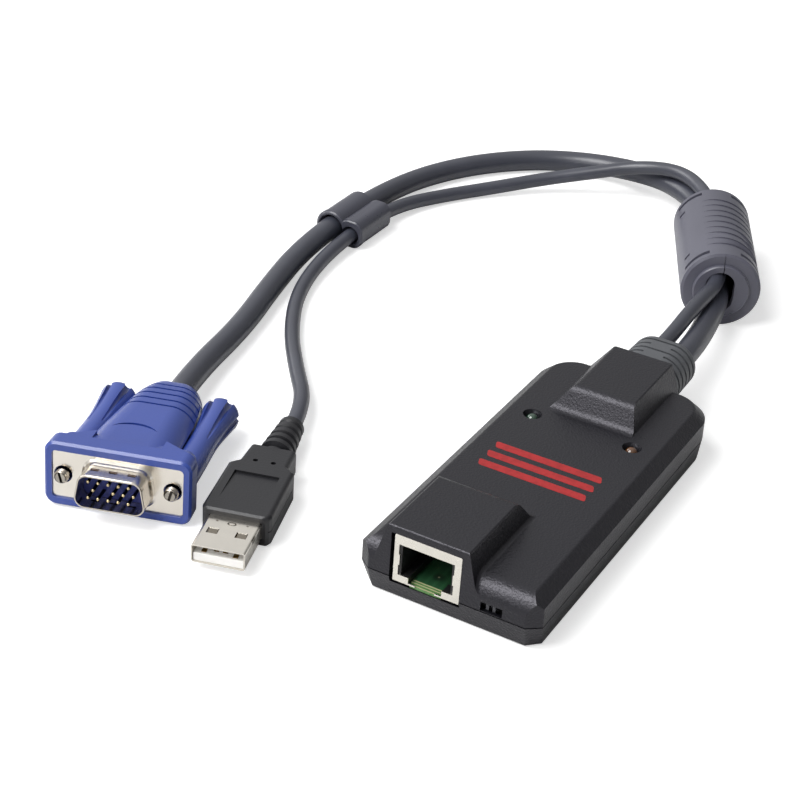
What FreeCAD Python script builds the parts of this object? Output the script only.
import FreeCAD, Part
import math
import os

# KVM dongle: a two-shell case with a network socket, two cables on a shared strain relief,
# a ferrite, a double cable clip, a VGA plug with two thumbscrews and a USB plug.
# Millimetres, +Z up.  The case stands on z = 0 with its socket towards -Y.

os.makedirs("parts", exist_ok=True)
V = FreeCAD.Vector

# ---------------------------------------------------------------- case
half_width = 21.35
half_length = 48.0
wall = 1.8
floor_thick = 1.7
seam_z = 5.95
seam_gap = 0.25
shoulder_z = 10.8
crown_z = 13.2
crown_inset = 2.9
crown_back = 2.6
crown_round = 1.0
nose_round = 4.2
hump_z = 19.0
front_cut = (2.9, 2.3)
rear_corner = 9.0
lip_thick = 0.75
lip_rise = 1.15
lip_gap = 0.05
boss_radius = 3.0

# ---------------------------------------------------------------- socket, switch, lamps, board
jack_x = -4.83
jack_half = 7.82
jack_front = -47.6
jack_back = -31.9
jack_z = (5.2, 17.1)
shield_thick = 0.3
port_x = -5.05
port_half = 6.5
port_z = (6.95, 14.6)
recess_x = (-13.35, 3.25)
recess_z = (4.5, 17.2)
board_z = 3.6
board_thick = 1.6
board_top = board_z + board_thick
window_x = (8.1, 13.1)
window_z = (6.35, 8.5)
slider_x = (9.1, 11.25)
slider_travel = 1.8
lamp_x = 12.6
lamp_y = 16.8
lamp_radius = 1.5
lamp_recess = 2.25
lamp_recess_depth = 1.5
screw_spots = [(-14.5, 33.0), (14.5, 33.0)]
post_spots = [(-15.5, -26.0), (15.5, -26.0)]
screw_head = 2.45
screw_seat_z = 1.6
screw_shank = 1.3

# ---------------------------------------------------------------- strain relief of the case
relief_x = 2.1
relief_z = 11.5
relief_half = (8.3, 6.1)
relief_end_y = 62.0

# ---------------------------------------------------------------- plugs
vga_place = dict(at=(-78.0, -55.0, 8.3), yaw=18.2, pitch=-4.0)
usb_place = dict(at=(-47.7, -60.6, 1.8), yaw=16.0, pitch=0.0)
hood_half = (16.8, 7.9)
hood_front = -0.4
hood_step = 5.0
hood_end = 42.0
plate_half = (14.95, 5.85)
plate_thick = 0.8
thumb_x = 12.5
thumb_start = 6.5
lobes = 6
screw_radius = 1.42
plate_hole = 2.1
shank_radius = 1.2
thumb_end = 39.8
d_half_wide = 8.46
d_half_high = 4.18
d_slope = math.radians(10.0)
d_reach = 5.84
d_corner = 2.4
pin_pitch = 2.29
pin_row = 1.98
usb_shell_size = (12.0, 18.0, 4.5)
usb_grip_start = 11.75
usb_grip_end = 40.0
usb_cable_start = 55.0

# ---------------------------------------------------------------- ferrite, clip and cables
ferrite_at = (-0.35, 105.9)
ferrite_yaw = 25.1
ferrite_length = 44.0
ferrite_radius = 10.6
ferrite_wall = 3.0
core_radii = (5.8, 8.5)
rib_count = 9
rib_pitch = 3.45
rib_width = 1.2
vga_cable_radius = 3.15
usb_cable_radius = 2.0
clip_y = (87.5, 104.5)
clip_vga = (-110.7, 4.75)
clip_usb = (-104.3, 4.2)
clip_bore_z = (4.5, 3.75)
clip_flat_half = 3.8
cable_slack = 0.25


def box(x, y, z):
    """Block between two limits on each axis."""
    return Part.makeBox(x[1] - x[0], y[1] - y[0], z[1] - z[0], V(x[0], y[0], z[0]))


def rod(radius, start, end):
    """Cylinder from one point to another."""
    axis = end - start
    return Part.makeCylinder(radius, axis.Length, start, axis)


def cone(start_radius, end_radius, start, end):
    axis = end - start
    return Part.makeCone(start_radius, end_radius, axis.Length, start, axis)


def line(a, b):
    return Part.LineSegment(a, b).toShape()


def arc(a, mid, b):
    return Part.Arc(a, mid, b).toShape()


def polygon(points):
    return Part.Wire([line(a, b) for a, b in zip(points, points[1:] + points[:1])])


def prism(points, along):
    """Closed outline of points pushed along a vector."""
    return Part.Face(polygon(points)).extrude(along)


def loft(wires, ruled=True):
    return Part.makeLoft(wires, True, ruled)


def fuse(first, *others):
    shape = first
    for other in others:
        shape = shape.fuse(other)
    return shape.removeSplitter()


def save(name, shape):
    shape.exportStep("parts/" + name + ".step")


def edges_where(shape, test):
    """Edges whose every vertex passes a test."""
    return [e for e in shape.Edges if e.Vertexes and all(test(v.Point) for v in e.Vertexes)]


def outline(corners):
    """Closed wire through (point, radius) corners, each one rounded by its own radius."""
    ends = []
    for before, (spot, radius), after in zip(corners[-1:] + corners[:-1], corners, corners[1:] + corners[:1]):
        back = V(before[0] - spot).normalize()
        ahead = V(after[0] - spot).normalize()
        half_angle = back.getAngle(ahead) / 2
        reach = radius / math.tan(half_angle)
        middle = spot + V(back + ahead).normalize() * (radius / math.sin(half_angle) - radius)
        ends.append((spot + back * reach, middle, spot + ahead * reach))
    edges = []
    for this, following in zip(ends, ends[1:] + ends[:1]):
        if (this[2] - this[0]).Length > 1e-6:
            edges.append(arc(*this))
        if (following[0] - this[2]).Length > 1e-6:
            edges.append(line(this[2], following[0]))
    return Part.Wire(edges)


def sweep(corners, along):
    """Solid pushed from a rounded outline along a vector."""
    return Part.Face(outline(corners)).extrude(along)


def rounded_rect(half_x, half_z, radius, y, x=0, z=0):
    """Rounded rectangle standing across Y."""
    signs = ((1, 1), (-1, 1), (-1, -1), (1, -1))
    return outline([(V(x + sx * half_x, y, z + sz * half_z), radius) for sx, sz in signs])


def tube(points, radius):
    """Round tube along straight runs joined by tangent arcs; returns it, its length and least bend."""
    spots = [V(*p) for p in points]
    edges = []
    bends = []
    start = spots[0]
    for a, b, c in zip(spots, spots[1:], spots[2:]):
        run_in = b - a
        run_out = c - b
        turn = run_in.getAngle(run_out)
        reach = 0.45 * min(run_in.Length, run_out.Length)
        bend = reach / math.tan(turn / 2)
        inward = V(run_in).normalize()
        outward = V(run_out).normalize()
        leave = b - inward * reach
        arrive = b + outward * reach
        centre_way = V(outward - inward).normalize()
        middle = b + centre_way * (bend / math.cos(turn / 2) - bend)
        edges.append(line(start, leave))
        edges.append(arc(leave, middle, arrive))
        bends.append(bend)
        start = arrive
    edges.append(line(start, spots[-1]))
    path = Part.Wire(edges)
    ring = Part.Wire([Part.Circle(spots[0], spots[1] - spots[0], radius).toShape()])
    return path.makePipeShell([ring], True, False), path.Length, min(bends)


# ---------------------------------------------------------------- case shells
def case_wire(z, side, front, rear, cut, corner, front_round=0):
    """Case outline at height z: cut corners at the socket end, round ones at the cable end."""
    return outline([
        (V(-side + cut[0], -front, z), front_round),
        (V(side - cut[0], -front, z), front_round),
        (V(side, -front + cut[1], z), front_round),
        (V(side, rear, z), corner),
        (V(-side, rear, z), corner),
        (V(-side, -front + cut[1], z), front_round),
    ])


def inset_wire(z, inset):
    """The seam outline moved inwards by an even amount."""
    cut = (front_cut[0] - 0.35 * inset, front_cut[1] - 0.35 * inset)
    return case_wire(z, half_width - inset, half_length - inset, half_length - inset, cut,
                     rear_corner - inset)


socket_hump = dict(foot=(-16.0, 6.1), top=(-14.3, 4.7), crest=(0.8, 0.5), end=-half_length, end_round=0.5,
                   slope=(-21.4, -26.1), bend=3.0)
cable_hump = dict(foot=(-10.7, 10.8), top=(-6.4, 8.7), crest=(1.2, 0.4), end=half_length, end_round=0.0,
                  slope=(21.9, 25.1), bend=2.5)


def hump(shape, inset, low):
    """Raised part of the cover, drawn in by an inset: its side profile crossed with its end profile."""
    top = hump_z - inset
    way = 1 if shape["end"] < 0 else -1
    end = shape["end"] + way * inset
    slope_foot, slope_top = [y - way * inset for y in shape["slope"]]
    run_out = slope_foot + way * 4.0
    side = sweep([
        (V(-half_width, end, low), 0),
        (V(-half_width, end, top), max(shape["end_round"] - inset, 0)),
        (V(-half_width, slope_top, top), max(shape["bend"] - inset, 0)),
        (V(-half_width, slope_foot, crown_z - inset), shape["bend"]),
        (V(-half_width, run_out, crown_z - inset), 0),
        (V(-half_width, run_out, low), 0),
    ], V(2 * half_width, 0, 0))

    def flank(index, z):
        steepness = (shape["foot"][index] - shape["top"][index]) / (hump_z - crown_z)
        return shape["top"][index] + steepness * (hump_z - z) + (inset if index == 0 else -inset)
    across = sweep([
        (V(flank(0, low), -half_length, low), 0),
        (V(flank(0, top), -half_length, top), max(shape["crest"][0] - inset, 0)),
        (V(flank(1, top), -half_length, top), max(shape["crest"][1] - inset, 0)),
        (V(flank(1, low), -half_length, low), 0),
    ], V(0, 2 * half_length, 0))
    return side.common(across)


def top_slab():
    """Cover without its humps: a bevelled lid trimmed to the plan's cut corners and a rounded nose."""
    beyond = half_length + 5.0
    lid = loft([
        case_wire(seam_z + seam_gap, half_width, beyond, half_length, front_cut, rear_corner),
        case_wire(shoulder_z, half_width - 0.1, beyond, half_length - 0.05, front_cut, rear_corner),
        case_wire(crown_z, half_width - crown_inset, beyond, half_length - crown_back, front_cut,
                  rear_corner - crown_back),
    ])
    lid = lid.makeFillet(crown_round, edges_where(lid, lambda p: p.z > crown_z - 0.01 and p.y > -half_length))
    plan = Part.Face(case_wire(0, half_width, half_length, half_length, front_cut, rear_corner, 0.8))
    nose = sweep([
        (V(-half_width, -half_length, 0), 0),
        (V(-half_width, -half_length, crown_z), nose_round),
        (V(-half_width, beyond, crown_z), 0),
        (V(-half_width, beyond, 0), 0),
    ], V(2 * half_width, 0, 0))
    return lid.common(plan.extrude(V(0, 0, hump_z))).common(nose)


def top_cover():
    shell = top_slab()
    for shape in (socket_hump, cable_hump):
        shell = shell.fuse(hump(shape, 0, shoulder_z - 1.8))
    shell = shell.removeSplitter()
    foot_x = socket_hump["foot"][1]
    foot = edges_where(shell, lambda p: abs(p.z - crown_z) < 0.01 and abs(p.x - foot_x) < 0.05)
    shell = shell.makeFillet(1.0, foot)
    ceiling = crown_z - wall
    hollow = loft([
        inset_wire(seam_z - 1.0, wall),
        inset_wire(shoulder_z - 1.2, wall),
        case_wire(ceiling, half_width - crown_inset - 1.0, half_length - nose_round + 0.4, half_length - 4.2,
                  (1.0, 0.8), rear_corner - 4.0),
    ])
    for shape in (socket_hump, cable_hump):
        hollow = hollow.fuse(hump(shape, wall, ceiling - 1.0))
    shell = shell.cut(hollow)
    rebate = wall - lip_thick - lip_gap
    shell = shell.cut(loft([inset_wire(seam_z - 1.0, rebate), inset_wire(seam_z + lip_rise + 0.1, rebate)]))
    shell = shell.cut(box(recess_x, (-50, -44), recess_z))
    shell = shell.cut(box(window_x, (-50, -45), window_z))
    for side in (-1, 1):
        spot = V(side * lamp_x, lamp_y, crown_z)
        shell = shell.cut(cone(lamp_recess, lamp_radius + 0.1, spot, spot - V(0, 0, lamp_recess_depth)))
        shell = shell.cut(rod(lamp_radius + 0.1, spot, spot - V(0, 0, 4)))
    shell = shell.cut(relief_block(7.6, 5.1, 44.0, 50.0))
    shell = shell.cut(relief_block(8.05, 5.45, 43.5, half_length - wall))
    for x, y in screw_spots:
        shell = shell.fuse(rod(boss_radius, V(x, y, board_top), V(x, y, ceiling + 0.2)))
        shell = shell.cut(rod(screw_shank, V(x, y, board_top - 1), V(x, y, ceiling - 1.0)))
    return shell.removeSplitter()


def bottom_cover():
    outer = loft([
        case_wire(0, half_width - 0.6, half_length - 1.9, half_length - 0.8, (2.7, 2.8), rear_corner - 0.8),
        case_wire(seam_z, half_width, half_length, half_length, front_cut, rear_corner),
    ])
    outer = outer.makeFillet(1.0, edges_where(outer, lambda p: p.z < 0.01))
    hollow = loft([
        case_wire(floor_thick, half_width - 0.6 - wall, half_length - 1.9 - wall, half_length - 0.8 - wall,
                  (2.0, 2.0), rear_corner - 0.8 - wall),
        inset_wire(seam_z, wall),
    ])
    lip = loft([inset_wire(seam_z, wall - lip_thick), inset_wire(seam_z + lip_rise, wall - lip_thick)])
    lip = lip.cut(loft([inset_wire(seam_z, wall), inset_wire(seam_z + lip_rise, wall)]))
    lip = lip.cut(box((recess_x[0] - 1, recess_x[1] + 1), (-50, -44), (0, 20)))
    lip = lip.cut(box((window_x[0] - 1.4, window_x[1] + 2.4), (-50, -44), (0, 20)))
    lip = lip.cut(box((relief_x - 9, relief_x + 9), (44, 50), (0, 20)))
    shell = outer.cut(hollow).fuse(lip)
    for x, y in screw_spots + post_spots:
        shell = shell.fuse(rod(boss_radius, V(x, y, 0.8), V(x, y, board_z)))
    for x, y in screw_spots:
        shell = shell.cut(rod(screw_shank + 0.2, V(x, y, -1), V(x, y, board_z + 1)))
        shell = shell.cut(rod(screw_head + 0.25, V(x, y, -1), V(x, y, screw_seat_z)))
    shell = shell.cut(box(recess_x, (-50, -45.2), (recess_z[0], 10)))
    return shell.removeSplitter()


def cover_screws():
    screws = []
    for x, y in screw_spots:
        rim = cone(screw_head - 0.45, screw_head, V(x, y, 0.1), V(x, y, 0.6))
        head = rim.fuse(rod(screw_head, V(x, y, 0.6), V(x, y, screw_seat_z)))
        shank = rod(screw_shank, V(x, y, screw_seat_z), V(x, y, 9.8))
        slot_long = box((x - 1.3, x + 1.3), (y - 0.3, y + 0.3), (0, 0.9))
        slot_wide = box((x - 0.3, x + 0.3), (y - 1.3, y + 1.3), (0, 0.9))
        screws.append(head.fuse(shank).cut(slot_long).cut(slot_wide).removeSplitter())
    return Part.makeCompound(screws)


# ---------------------------------------------------------------- board and what it carries
def circuit_board():
    board = box((-18.6, 18.6), (-45.0, 44.6), (board_z, board_top))
    corners = [e for e in board.Edges if abs(e.Vertexes[0].Z - e.Vertexes[-1].Z) > 1]
    board = board.makeFillet(5.0, corners)
    for x, y in screw_spots:
        board = board.cut(rod(screw_shank + 0.3, V(x, y, 0), V(x, y, 10)))
    return board


def quad_chip(x, y, size, thick):
    """Flat chip with gull-wing leads on all four sides."""
    body = box((x - size / 2, x + size / 2), (y - size / 2, y + size / 2),
               (board_top + 0.1, board_top + thick))
    top = [e for e in body.Edges if all(v.Z > board_top + thick - 0.01 for v in e.Vertexes)]
    shape = body.makeChamfer(0.25, top)
    leads = 10
    for i in range(leads):
        offset = (i - (leads - 1) / 2) * (size - 2) / (leads - 1)
        lead_z = (board_top, board_top + 0.3)
        reach = size / 2 + 1.0
        shape = shape.fuse(box((x - reach, x + reach), (y + offset - 0.2, y + offset + 0.2), lead_z))
        shape = shape.fuse(box((x + offset - 0.2, x + offset + 0.2), (y - reach, y + reach), lead_z))
    return shape.removeSplitter()


def crystal():
    can = box((9.0, 13.6), (10.0, 12.0), (board_top, board_top + 3.5))
    ends = [e for e in can.Edges if abs(e.Vertexes[0].Z - e.Vertexes[-1].Z) > 1]
    return can.makeFillet(0.95, ends)


def cable_header():
    block = box((-9.0, 9.0), (36.0, 41.5), (board_top, board_top + 5.0))
    for i in range(9):
        x = -8.0 + 2.0 * i
        block = block.cut(box((x - 0.6, x + 0.6), (37.0, 42.0), (board_top + 1.2, board_top + 4.0)))
    return block


def line_transformer():
    body = box((-10.5, 1.5), (-28.0, -19.0), (board_top, board_top + 5.2))
    return body.makeChamfer(0.4, [e for e in body.Edges if all(v.Z > board_top + 5 for v in e.Vertexes)])


# ---------------------------------------------------------------- network socket
def port_outline(y):
    """Opening of the socket: square-shouldered, with the latch steps at the bottom."""
    low, high = port_z
    half = port_half
    steps = [
        (-half, low), (-3.95, low), (-3.95, 5.6), (-2.35, 5.6), (-2.35, 4.0), (2.35, 4.0),
        (2.35, 5.6), (3.95, 5.6), (3.95, low), (half, low), (half, 9.4), (half - 0.25, 9.4),
        (half - 0.25, 12.0), (half, 12.0), (half, high), (-half, high), (-half, 12.0),
        (0.25 - half, 12.0), (0.25 - half, 9.4), (-half, 9.4),
    ]
    return [V(port_x + x, y, z) for x, z in steps]


def jack_shield():
    x = (jack_x - jack_half, jack_x + jack_half)
    t = shield_thick
    can = box(x, (jack_front, jack_back), jack_z)
    edges = [e for e in can.Edges if abs(e.Vertexes[0].Y - e.Vertexes[-1].Y) > 1
             and e.Vertexes[0].Z > jack_z[0] + 1]
    can = can.makeFillet(0.6, edges)
    can = can.cut(box((x[0] + t, x[1] - t), (jack_front + t, jack_back - t), (jack_z[0] - 1, jack_z[1] - t)))
    return can.cut(prism(port_outline(jack_front - 1), V(0, 1 + 2 * t, 0)))


def jack_body():
    gap = shield_thick + 0.03
    x = (jack_x - jack_half + gap, jack_x + jack_half - gap)
    block = box(x, (jack_front + gap, jack_back - gap), (board_top, jack_z[1] - gap))
    mouth = box((port_x - 5.85, port_x + 5.85), (jack_front, -36.0), (6.9, 14.6))
    latch = box((port_x - 4.0, port_x + 4.0), (jack_front, -36.0), (5.0, 7.0))
    under = box((port_x - 2.5, port_x + 5.85), (-44.6, -36.0), (5.0, 7.0))
    comb = box((port_x - 4.2, port_x + 4.2), (-46.2, -36.0), (14.5, 15.6))
    return block.cut(mouth).cut(latch).cut(under).cut(comb)


def jack_contacts():
    """Eight sprung wires that slant down and back from the roof of the socket."""
    wires = []
    for i in range(8):
        x = port_x + (i - 3.5) * 1.02
        side = [V(x - 0.18, -46.2, 15.6), V(x - 0.18, -36.0, 12.2), V(x - 0.18, -36.0, 11.85),
                V(x - 0.18, -37.0, 11.85), V(x - 0.18, -46.2, 15.2)]
        wires.append(prism(side, V(0.36, 0, 0)))
    return Part.makeCompound(wires)


# ---------------------------------------------------------------- recovery switch
switch_back = -42.4
guide_y = (-45.1, -43.5)


def switch_body():
    block = box((slider_x[0] - 2.4, slider_x[1] + slider_travel + 2.4), (-45.7, switch_back),
                (board_top, 9.4))
    track = box((slider_x[0] - 0.55, slider_x[1] + slider_travel + 0.55), guide_y, (6.05, 8.75))
    mouth = box((slider_x[0] - 0.05, slider_x[1] + slider_travel + 0.05), (-47, guide_y[1]), (6.5, 8.35))
    return block.cut(track).cut(mouth)


def switch_slider():
    base = box((slider_x[0] - 0.5, slider_x[1] + 0.5), (guide_y[0] + 0.05, guide_y[1] - 0.05), (6.1, 8.7))
    knob = box(slider_x, (-47.3, guide_y[1] - 0.05), (6.55, 8.3))
    middle = (slider_x[0] + slider_x[1]) / 2
    groove = box((middle - 0.45, middle + 0.45), (-48, -46.3), (6, 9))
    return base.fuse(knob).cut(groove).removeSplitter()


# ---------------------------------------------------------------- lamps
def lamp(x):
    spot = V(x, lamp_y, 0)
    dome_z = 11.6
    body = rod(lamp_radius, spot + V(0, 0, 8.4), spot + V(0, 0, dome_z))
    dome = Part.makeSphere(lamp_radius, spot + V(0, 0, dome_z))
    flange = rod(lamp_radius + 0.35, spot + V(0, 0, 8.0), spot + V(0, 0, 8.8))
    legs = [box((x + s - 0.25, x + s + 0.25), (lamp_y - 0.25, lamp_y + 0.25), (board_top, 8.1))
            for s in (-0.9, 0.9)]
    return fuse(body, dome, flange, *legs)


# ---------------------------------------------------------------- strain relief
def stadium(half_x, half_z, y, x=relief_x, z=relief_z):
    """Flat-sided oval standing across Y."""
    straight = half_x - half_z
    return Part.Wire([
        line(V(x - straight, y, z + half_z), V(x + straight, y, z + half_z)),
        arc(V(x + straight, y, z + half_z), V(x + half_x, y, z), V(x + straight, y, z - half_z)),
        line(V(x + straight, y, z - half_z), V(x - straight, y, z - half_z)),
        arc(V(x - straight, y, z - half_z), V(x - half_x, y, z), V(x - straight, y, z + half_z)),
    ])


def relief_block(half_x, half_z, y0, y1):
    return loft([stadium(half_x, half_z, y0), stadium(half_x, half_z, y1)])


def strain_relief():
    body = loft([stadium(relief_half[0] + 0.3, relief_half[1], half_length),
                 stadium(relief_half[0], relief_half[1] - 0.1, relief_end_y)])
    body = body.makeFillet(1.4, edges_where(body, lambda p: p.y > relief_end_y - 0.01))
    neck = relief_block(7.55, 5.05, half_length - wall, half_length)
    flange = relief_block(8.0, 5.4, 43.6, half_length - wall)
    ring_width = 0.75
    for i in range(5):
        y = 49.6 + 2.35 * i
        ring = relief_block(12, 10, y, y + ring_width).cut(relief_block(7.3, 5.1, y - 1, y + 2))
        if i in (1, 3):
            ring = ring.cut(box((relief_x - 2.6, relief_x + 2.6), (y - 1, y + 2), (0, 30)))
        body = body.cut(ring)
    return fuse(body, neck, flange)


# ---------------------------------------------------------------- ferrite
ferrite_way = V(-math.sin(math.radians(ferrite_yaw)), math.cos(math.radians(ferrite_yaw)), 0)
ferrite_face = V(ferrite_at[0], ferrite_at[1], ferrite_radius)
vga_bore_z = 8.25
usb_bore_z = 13.75


def along_ferrite(distance, z):
    """Point on the ferrite's centre line, at a given height."""
    spot = ferrite_face + ferrite_way * distance
    return V(spot.x, spot.y, z)


def on_ferrite(solid):
    """Moves a solid from the ferrite's own axes, which run along Y from its near end, to its place."""
    solid.rotate(V(0, 0, 0), V(0, 0, 1), ferrite_yaw)
    solid.translate(ferrite_face)
    return solid


def turned(profile):
    """Solid of revolution about the ferrite's axis; profile is (distance, radius) pairs."""
    points = [V(r, d, 0) for d, r in profile]
    return on_ferrite(Part.Face(polygon(points)).revolve(V(0, 0, 0), V(0, 1, 0), 360))


def ring_slot(distance, width, depth, start, sweep_angle):
    """Slot round part of the barrel; angles in degrees, 0 to the side and 90 at the top."""
    r = ferrite_radius
    face = Part.Face(polygon([V(r - depth, distance, 0), V(r + 1, distance, 0),
                              V(r + 1, distance + width, 0), V(r - depth, distance + width, 0)]))
    face.rotate(V(0, 0, 0), V(0, 1, 0), -start)
    return on_ferrite(face.revolve(V(0, 0, 0), V(0, -1, 0), sweep_angle))


def rib_groove(distance):
    """Groove cut by a ring set off centre: deepest on the right flank, fading out past the top."""
    deepest = math.radians(25)
    lean = V(-math.cos(deepest), 0, -math.sin(deepest)) * 0.5
    near = V(0, distance, 0)
    far = V(0, distance + rib_width, 0)
    ring = rod(ferrite_radius + 2, near, far).cut(rod(ferrite_radius, near + lean, far + lean))
    return on_ferrite(ring)


def ferrite_cover():
    length = ferrite_length
    half = [(0, 0), (0, 7.2), (0.3, 7.5), (1.2, 7.5), (1.2, 9.9), (1.6, ferrite_radius)]
    cover = turned(half + [(length - d, radius) for d, radius in reversed(half)])
    bore = core_radii[1] + 0.2
    cover = cover.cut(turned([(ferrite_wall, 0), (ferrite_wall, bore), (length - ferrite_wall, bore),
                              (length - ferrite_wall, 0)]))
    mouth = [rounded_rect(3.9, 5.75, 3.85, distance, -0.45, -0.15) for distance in (-1, length + 1)]
    cover = cover.cut(on_ferrite(loft(mouth)))
    for i in range(rib_count):
        cover = cover.cut(rib_groove(6.9 + rib_pitch * i))
    for distance in (3.0, length - 4.5):
        cover = cover.cut(ring_slot(distance, 1.5, 1.0, 22, 45))
        cover = cover.cut(ring_slot(distance, 1.5, 1.0, 113, 45))
    for distance in (8.2, length - 9.4):
        cover = cover.cut(ring_slot(distance, 1.2, 0.8, 145, 12))
    for limits in ((-1, 1.4), (length - 1.4, length + 1)):
        cover = cover.cut(on_ferrite(box((-0.12, 0.12), limits, (-11, 11))))
    return cover


def ferrite_core():
    near, far = ferrite_wall + 0.2, ferrite_length - ferrite_wall - 0.2
    inner, outer = core_radii
    return turned([(near, inner), (near, outer), (far, outer), (far, inner)])


# ---------------------------------------------------------------- cable clip
def clip_block(y0, y1, grow):
    """Round barrel and flat-sided barrel side by side, grown by an even amount."""
    vga_x, vga_r = clip_vga
    usb_x, usb_half = clip_usb
    barrel = rod(vga_r + grow, V(vga_x, y0, vga_r), V(vga_x, y1, vga_r))
    flat = loft([rounded_rect(clip_flat_half + grow, usb_half + grow, 3.1 + grow, y, usb_x, usb_half)
                 for y in (y0, y1)])
    web = box((vga_x, usb_x), (y0, y1), (0.5 - grow, 6.0 + grow))
    return fuse(barrel, flat, web)


def cable_clip():
    """Double barrel, open at both ends, with a thick rim, funnelled mouths and a latch seam."""
    y0, y1 = clip_y
    clip = clip_block(y0, y1, -0.15)
    clip = clip.fuse(clip_block(y0 + 0.4, y0 + 1.7, 0.0)).removeSplitter()
    ends = [e for e in clip.Edges if all(abs(v.Y - y0) < 0.01 for v in e.Vertexes)
            or all(abs(v.Y - y1) < 0.01 for v in e.Vertexes)]
    clip = clip.makeChamfer(0.35, ends)
    for (x, _), z, radius in ((clip_vga, clip_bore_z[0], vga_cable_radius),
                              (clip_usb, clip_bore_z[1], usb_cable_radius)):
        bore = radius + cable_slack
        clip = clip.cut(rod(bore, V(x, y0 - 1, z), V(x, y1 + 1, z)))
        for y, way in ((y0, 1), (y1, -1)):
            clip = clip.cut(cone(bore + 0.55, bore, V(x, y - 0.01 * way, z), V(x, y + 1.4 * way, z)))
    outer_x = clip_usb[0] + clip_flat_half
    seam = box((outer_x - 0.6, outer_x + 1), (y0 - 1, y1 + 1), (1.7, 2.1))
    notch = box((outer_x - 1.3, outer_x + 1), (y0 + 3.0, y0 + 5.2), (-1, 2.1))
    return clip.cut(seam).cut(notch)


# ---------------------------------------------------------------- plugs
def stand(shape, place):
    """Turn a plug part from its own axes (front towards -Y) to where the plug lies."""
    pitch = FreeCAD.Rotation(V(1, 0, 0), place["pitch"])
    yaw = FreeCAD.Rotation(V(0, 0, 1), place["yaw"])
    moved = shape.copy()
    moved.Placement = FreeCAD.Placement(V(*place["at"]), yaw.multiply(pitch)).multiply(moved.Placement)
    return moved


def plug_point(place, x, y, z):
    pitch = FreeCAD.Rotation(V(1, 0, 0), place["pitch"])
    yaw = FreeCAD.Rotation(V(0, 0, 1), place["yaw"])
    return V(*place["at"]) + yaw.multiply(pitch).multVec(V(x, y, z))


def barrel_section(y, half_x, half_z):
    return stadium(half_x, half_z, y, 0, 0)


def vga_hood():
    front = rounded_rect(hood_half[0] - 0.5, hood_half[1] - 0.5, 2.2, hood_front)
    lip = rounded_rect(hood_half[0], hood_half[1], 2.6, hood_front + 0.6)
    back = rounded_rect(hood_half[0] - 0.1, hood_half[1], 2.6, hood_step - 0.7)
    edge = rounded_rect(hood_half[0] - 0.8, hood_half[1] - 0.6, 2.2, hood_step)
    frame = loft([front, lip, back, edge])
    step = loft([rounded_rect(15.8, 6.9, 2.2, hood_step), rounded_rect(15.2, 6.3, 2.2, 8.2)])
    barrel = loft([barrel_section(4.0, 11.6, 7.0), barrel_section(12.0, 11.2, 6.7),
                   barrel_section(22.0, 10.3, 6.4), barrel_section(32.0, 9.2, 6.0),
                   barrel_section(38.0, 8.0, 5.5), barrel_section(hood_end, 6.3, 4.7)], False)
    barrel = barrel.makeFillet(0.9, edges_where(barrel, lambda p: p.y > hood_end - 0.01))
    hood = fuse(frame, step, barrel)
    for side in (-1, 1):
        gusset = prism([V(side * 8.0, 5.0, -6.9), V(side * 8.0, 9.6, -6.9), V(side * 15.8, 5.0, -6.9)],
                       V(0, 0, 13.8))
        hood = hood.fuse(gusset)
    for side in (-1, 1):
        x = side * thumb_x
        hood = hood.cut(rod(3.9, V(x, thumb_start, 0), V(x, 26, 0)))
        hood = hood.cut(cone(3.9, 5.0, V(x, 26, 0), V(x, 37, 0)))
        hood = hood.cut(rod(5.0, V(x, 37, 0), V(x, hood_end + 2, 0)))
        hood = hood.cut(rod(plate_hole - 0.2, V(x, -2, 0), V(x, 10, 0)))
    widths = ((26.6, 9.25), (29.6, 8.95), (32.6, 8.55), (35.4, 8.0), (38.0, 7.4))
    for y, half in widths:
        height = 6.35 - (y - 20.0) * 0.05 - max(0, y - 33) * 0.06
        core = loft([barrel_section(y - 0.5, half - 0.1, height - 0.75),
                     barrel_section(y + 1.5, half - 0.3, height - 0.8)])
        hood = hood.cut(box((-15, 15), (y, y + 0.7), (-9, 9)).cut(core))
    crescent_top = 16.0
    outer = rod(6.6, V(-0.6, crescent_top - 6.6, 5.6), V(-0.6, crescent_top - 6.6, 9))
    inner = rod(8.6, V(-0.6, crescent_top - 9.5, 5), V(-0.6, crescent_top - 9.5, 10))
    hood = hood.cut(outer.cut(inner))
    pocket = loft([rounded_rect(plate_half[0] + 0.05, plate_half[1] + 0.05, 1.0, hood_front - 1),
                   rounded_rect(plate_half[0] + 0.05, plate_half[1] + 0.05, 1.0, 0.1 + plate_thick)])
    hood = hood.cut(pocket)
    return hood.cut(box((-9.6, 9.6), (0.5, 7.0), (-5.0, 5.0))).removeSplitter()


def d_wire(y, grow):
    """D-shaped outline, wide side down, grown or shrunk by an even amount."""
    half_high = d_half_high + grow
    wide = d_half_wide + grow
    narrow = wide - 2 * half_high * math.tan(d_slope)
    corners = ((-wide, -half_high), (wide, -half_high), (narrow, half_high), (-narrow, half_high))
    return outline([(V(x, y, z), max(d_corner + grow, 0.5)) for x, z in corners])


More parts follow.
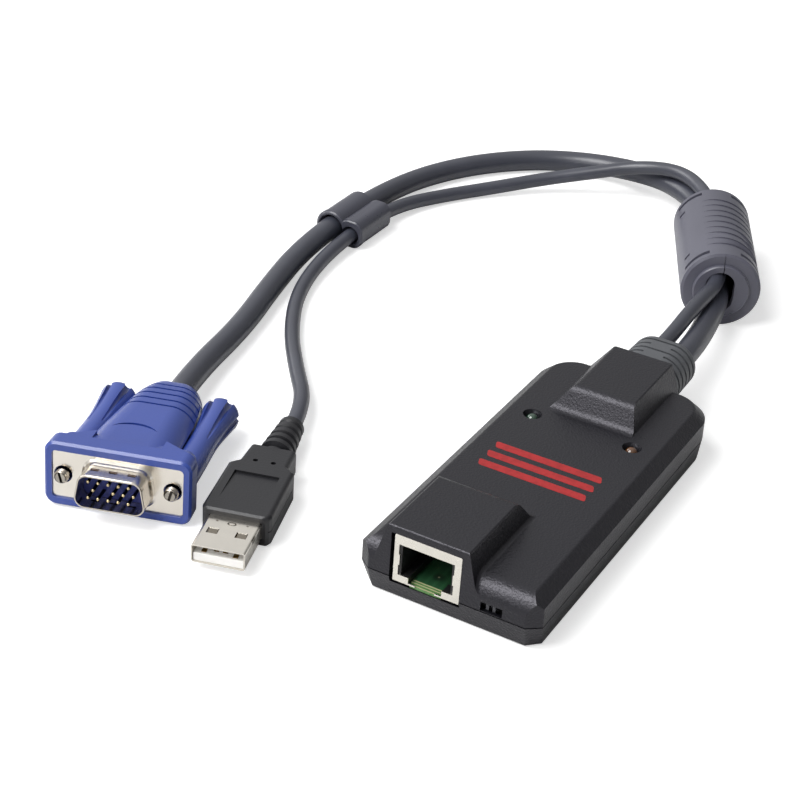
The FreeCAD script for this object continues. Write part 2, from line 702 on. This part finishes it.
def vga_shell():
    back = 0.1 + plate_thick
    plate = loft([rounded_rect(plate_half[0], plate_half[1], 1.0, 0.1),
                  rounded_rect(plate_half[0], plate_half[1], 1.0, back)])
    flare = loft([d_wire(0.1, 0.9), d_wire(-0.25, 0.35), d_wire(-1.0, 0.0)])
    skirt = loft([d_wire(-0.9, 0.0), d_wire(0.2 - d_reach, 0.0), d_wire(-d_reach, -0.12)])
    shell = fuse(plate, flare, skirt)
    shell = shell.cut(loft([d_wire(-d_reach - 1, -0.45), d_wire(2, -0.45)]))
    for side in (-1, 1):
        shell = shell.cut(rod(plate_hole, V(side * thumb_x, -2, 0), V(side * thumb_x, 2, 0)))
    for x in (-4.2, 0.0, 4.2):
        for z in (-d_half_high - 0.32, d_half_high + 0.32):
            shell = shell.cut(rod(0.62, V(x - 0.9, -3.0, z), V(x + 0.9, -3.0, z)))
    return shell


def vga_insulator():
    block = loft([d_wire(-0.6, -0.5), d_wire(4.5, -0.5)])
    for x, z in pin_spots():
        block = block.cut(rod(0.4, V(x, -1, z), V(x, 5, z)))
    return block


def pin_spots():
    """Three rows of five; the middle row is shifted and lacks its second pin."""
    spots = []
    for row, shift in ((1, -0.25), (0, 0.25), (-1, -0.25)):
        for column in range(-2, 3):
            if row == 0 and column == -1:
                continue
            spots.append(((column + shift) * pin_pitch, row * pin_row))
    return spots


def vga_pins():
    pins = []
    for x, z in pin_spots():
        pins.append(fuse(rod(0.4, V(x, -4.6, z), V(x, 4.5, z)), Part.makeSphere(0.4, V(x, -4.6, z))))
    return Part.makeCompound(pins)


def thumb_knob(side):
    """Long knob with a waist and a flared head cut into lobes."""
    x = side * thumb_x
    ring = [(0, thumb_start), (3.3, thumb_start), (3.55, thumb_start + 0.5), (3.5, 12.0)]
    edges = [line(V(a[0], a[1], 0), V(b[0], b[1], 0)) for a, b in zip(ring, ring[1:])]
    waist = Part.BSplineCurve()
    waist.interpolate([V(3.5, 12.0, 0), V(3.35, 20.0, 0), V(3.35, 25.0, 0), V(3.75, 30.5, 0), V(4.4, 36.6, 0)])
    edges.append(waist.toShape())
    edges.append(arc(V(4.4, 36.6, 0), V(4.0, 38.8, 0), V(2.6, thumb_end, 0)))
    edges.append(line(V(2.6, thumb_end, 0), V(0, thumb_end, 0)))
    edges.append(line(V(0, thumb_end, 0), V(0, thumb_start, 0)))
    knob = Part.Face(Part.Wire(edges)).revolve(V(0, 0, 0), V(0, 1, 0), 360)
    for i in range(lobes):
        angle = math.radians(90 + 360 * (i + 0.5) / lobes)
        away = V(math.cos(angle), 0, math.sin(angle))
        knob = knob.cut(cone(0.3, 1.15, away * 3.4 + V(0, 21, 0), away * 3.9 + V(0, 42, 0)))
    knob.translate(V(x, 0, 0))
    return knob.cut(rod(shank_radius, V(x, 0, 0), V(x, 14, 0)))


def thumb_screw(side):
    """Screw with a full-width end and a thinner shank, held in the knob."""
    x = side * thumb_x
    shank = rod(shank_radius, V(x, -0.4, 0), V(x, 14.0, 0))
    thread = rod(screw_radius, V(x, -1.4, 0), V(x, -0.4, 0))
    tip = cone(screw_radius - 0.3, screw_radius, V(x, -1.9, 0), V(x, -1.4, 0))
    slot = box((x - 0.28, x + 0.28), (-3, -1.3), (-2, 2))
    slot.rotate(V(x, 0, 0), V(0, 1, 0), 15 * side)
    return fuse(shank, thread, tip).cut(slot)


def usb_grip():
    half = usb_shell_size[2] / 2
    low, high = half - 4.0, half + 4.0
    sections = ((usb_grip_start, 6.8, 3.45), (12.3, 7.55, 3.85), (13.3, 7.9, 4.0), (30.5, 7.7, 4.0),
                (32.5, 5.7, 3.9), (usb_grip_end, 5.4, 3.3))
    wires = []
    for y, half_x, half_z in sections:
        wires.append(rounded_rect(half_x, half_z, 1.1, y, 0, half))
    grip = loft(wires)
    panel = prism([V(-5.2, 16.0, high), V(-5.2, 27.6, high - 0.6), V(-5.2, 27.6, high + 1),
                   V(-5.2, 16.0, high + 1)], V(10.4, 0, 0))
    grip = grip.cut(panel)
    for side_x in (-2.1, 2.1):
        grip = grip.cut(rod(0.6, V(side_x, 32.9, high - 1.6), V(side_x, 32.9, high + 1)))
    for side_x in (-1, 1):
        grip = grip.cut(box(tuple(sorted((side_x * 7.3, side_x * 9))), (10, 41), (half - 0.1, half + 0.1)))
    width, depth, height = usb_shell_size
    grip = grip.cut(box((-width / 2, width / 2), (0, depth), (0, height)))
    outline = [(0, 39.5), (3.3, 39.5), (3.3, 40.6)]
    rings = 5
    for i in range(rings):
        y = 40.9 + i * 2.85
        r = 4.0 - 0.22 * i
        outline += [(2.6, y), (2.6, y + 0.5), (r, y + 0.9), (r, y + 2.3), (2.6, y + 2.7)]
    outline += [(2.5, usb_cable_start), (0, usb_cable_start)]
    sleeve = Part.Face(polygon([V(r, y, 0) for r, y in outline])).revolve(V(0, 0, 0), V(0, 1, 0), 360)
    sleeve.translate(V(0, 0, half))
    return fuse(grip, sleeve)


def usb_shell():
    width, depth, height = usb_shell_size
    half = height / 2
    def section(inset, y):
        return rounded_rect(width / 2 - inset, half - inset, max(0.6 - inset, 0.25), y, 0, half)
    shell = loft([section(0, 0), section(0, depth)]).cut(loft([section(0.3, -1), section(0.3, depth + 1)]))
    for x in (-3.2, 3.2):
        shell = shell.cut(box((x - 1.25, x + 1.25), (5.1, 7.1), (-1, height + 1)))
        spring = [V(x - 1.0, 7.2, height - 0.3), V(x - 1.0, 7.2, height - 0.02),
                  V(x - 1.0, 5.4, height - 0.62), V(x - 1.0, 5.4, height - 0.9)]
        shell = shell.fuse(prism(spring, V(2.0, 0, 0)))
    for x in (-3.4, 3.4):
        shell = shell.cut(rod(0.22, V(x, 9.9, height - 1), V(x, 9.9, height + 1)))
    oval = Part.Ellipse(V(0, 9.6, height - 0.12), 1.0, 0.6).toShape()
    inner = Part.Ellipse(V(0, 9.6, height - 0.12), 0.75, 0.38).toShape()
    mark = Part.Face(Part.Wire([oval])).cut(Part.Face(Part.Wire([inner]))).extrude(V(0, 0, 1))
    return shell.cut(mark)


def usb_tongue():
    width, depth, height = usb_shell_size
    tongue = box((-5.55, 5.55), (0.35, depth - 0.5), (0.35, 2.2))
    tongue = tongue.fuse(box((-5.55, 5.55), (12.5, depth - 0.5), (0.35, height - 0.35)))
    return tongue.makeFillet(0.25, edges_where(tongue, lambda p: p.y < 0.4 and p.z > 2.1)).removeSplitter()


def usb_contacts():
    strips = []
    for x, start in ((-3.5, 1.1), (-1.0, 2.1), (1.0, 2.1), (3.5, 1.1)):
        strip = box((x - 0.55, x + 0.55), (start, 12.5), (2.2, 2.38))
        strips.append(strip)
    return Part.makeCompound(strips)


# ---------------------------------------------------------------- cables
hood_mouth = plug_point(vga_place, 0, hood_end, 0)
hood_lead = plug_point(vga_place, 0, hood_end + 14.5, 0)
sleeve_mouth = plug_point(usb_place, 0, usb_cable_start, usb_shell_size[2] / 2)
sleeve_lead = plug_point(usb_place, 0, usb_cable_start + 11.0, usb_shell_size[2] / 2)
vga_rest = vga_cable_radius + 0.05
usb_rest = usb_cable_radius + 0.05

vga_route = [
    (5.0, relief_end_y, 11.0),
    (5.0, 70.0, 11.0),
    (3.0, 85.5, 9.3),
    tuple(along_ferrite(1.5, vga_bore_z)),
    tuple(along_ferrite(22, vga_bore_z) + V(-0.12, -0.06, 0)),
    tuple(along_ferrite(46, vga_bore_z)),
    (-30.3, 162.0, 8.1),
    (-43.0, 171.2, 7.2),
    (-57.3, 175.4, 5.4),
    (-72.2, 175.0, 3.9),
    (-87.0, 168.0, vga_rest),
    (-99.5, 153.6, vga_rest),
    (-107.8, 136.0, vga_rest),
    (-110.6, 117.0, 3.9),
    (-110.8, 95.5, 4.75),
    (-110.3, 71.0, 3.9),
    (-106.3, 50.0, vga_rest),
    (-100.3, 27.0, vga_rest),
    tuple(hood_lead),
    tuple(hood_mouth),
]

usb_route = [
    (-0.6, relief_end_y, 12.9),
    (-0.6, 71.0, 12.9),
    (-1.2, 87.0, 13.6),
    tuple(along_ferrite(1.5, usb_bore_z)),
    tuple(along_ferrite(22, usb_bore_z) + V(-0.12, -0.06, 0)),
    tuple(along_ferrite(46, usb_bore_z)),
    (-27.9, 159.3, 13.8),
    (-38.0, 167.2, 13.2),
    (-51.0, 168.4, 10.6),
    (-63.5, 162.3, 7.3),
    (-76.0, 155.0, 4.4),
    (-87.0, 144.6, 2.4),
    (-97.0, 131.0, usb_rest),
    (-103.8, 115.0, 3.0),
    (-104.4, 95.5, 4.1),
    (-104.3, 73.0, 2.9),
    (-99.6, 52.5, usb_rest),
    (-89.5, 33.5, usb_rest),
    (-78.0, 18.0, usb_rest + 0.6),
    tuple(sleeve_lead),
    tuple(sleeve_mouth),
]


def cable(name, route, radius):
    solid, length, least_bend = tube(route, radius)
    expected = math.pi * radius ** 2 * length
    print(name, "length", round(length, 1), "least bend", round(least_bend, 1),
          "volume ratio", round(solid.Volume / expected, 4))
    return solid


def build():
    save("top_cover", top_cover())
    save("bottom_cover", bottom_cover())
    save("cover_screws", cover_screws())
    save("circuit_board", circuit_board())
    save("controller_chip", quad_chip(4.0, 0.0, 14.0, 1.5))
    save("network_chip", quad_chip(-10.5, -8.0, 8.0, 1.2))
    save("crystal", crystal())
    save("cable_header", cable_header())
    save("line_transformer", line_transformer())
    save("jack_shield", jack_shield())
    save("jack_body", jack_body())
    save("jack_contacts", jack_contacts())
    save("switch_body", switch_body())
    save("switch_slider", switch_slider())
    save("lamp_left", lamp(-lamp_x))
    save("lamp_right", lamp(lamp_x))
    save("strain_relief", strain_relief())
    save("ferrite_cover", ferrite_cover())
    save("ferrite_core", ferrite_core())
    save("cable_clip", cable_clip())
    save("vga_hood", stand(vga_hood(), vga_place))
    save("vga_shell", stand(vga_shell(), vga_place))
    save("vga_insulator", stand(vga_insulator(), vga_place))
    save("vga_pins", stand(vga_pins(), vga_place))
    for name, side in (("left", -1), ("right", 1)):
        save("thumb_knob_" + name, stand(thumb_knob(side), vga_place))
        save("thumb_screw_" + name, stand(thumb_screw(side), vga_place))
    save("usb_grip", stand(usb_grip(), usb_place))
    save("usb_shell", stand(usb_shell(), usb_place))
    save("usb_tongue", stand(usb_tongue(), usb_place))
    save("usb_contacts", stand(usb_contacts(), usb_place))
    save("vga_cable", cable("vga_cable", vga_route, vga_cable_radius))
    save("usb_cable", cable("usb_cable", usb_route, usb_cable_radius))


build()
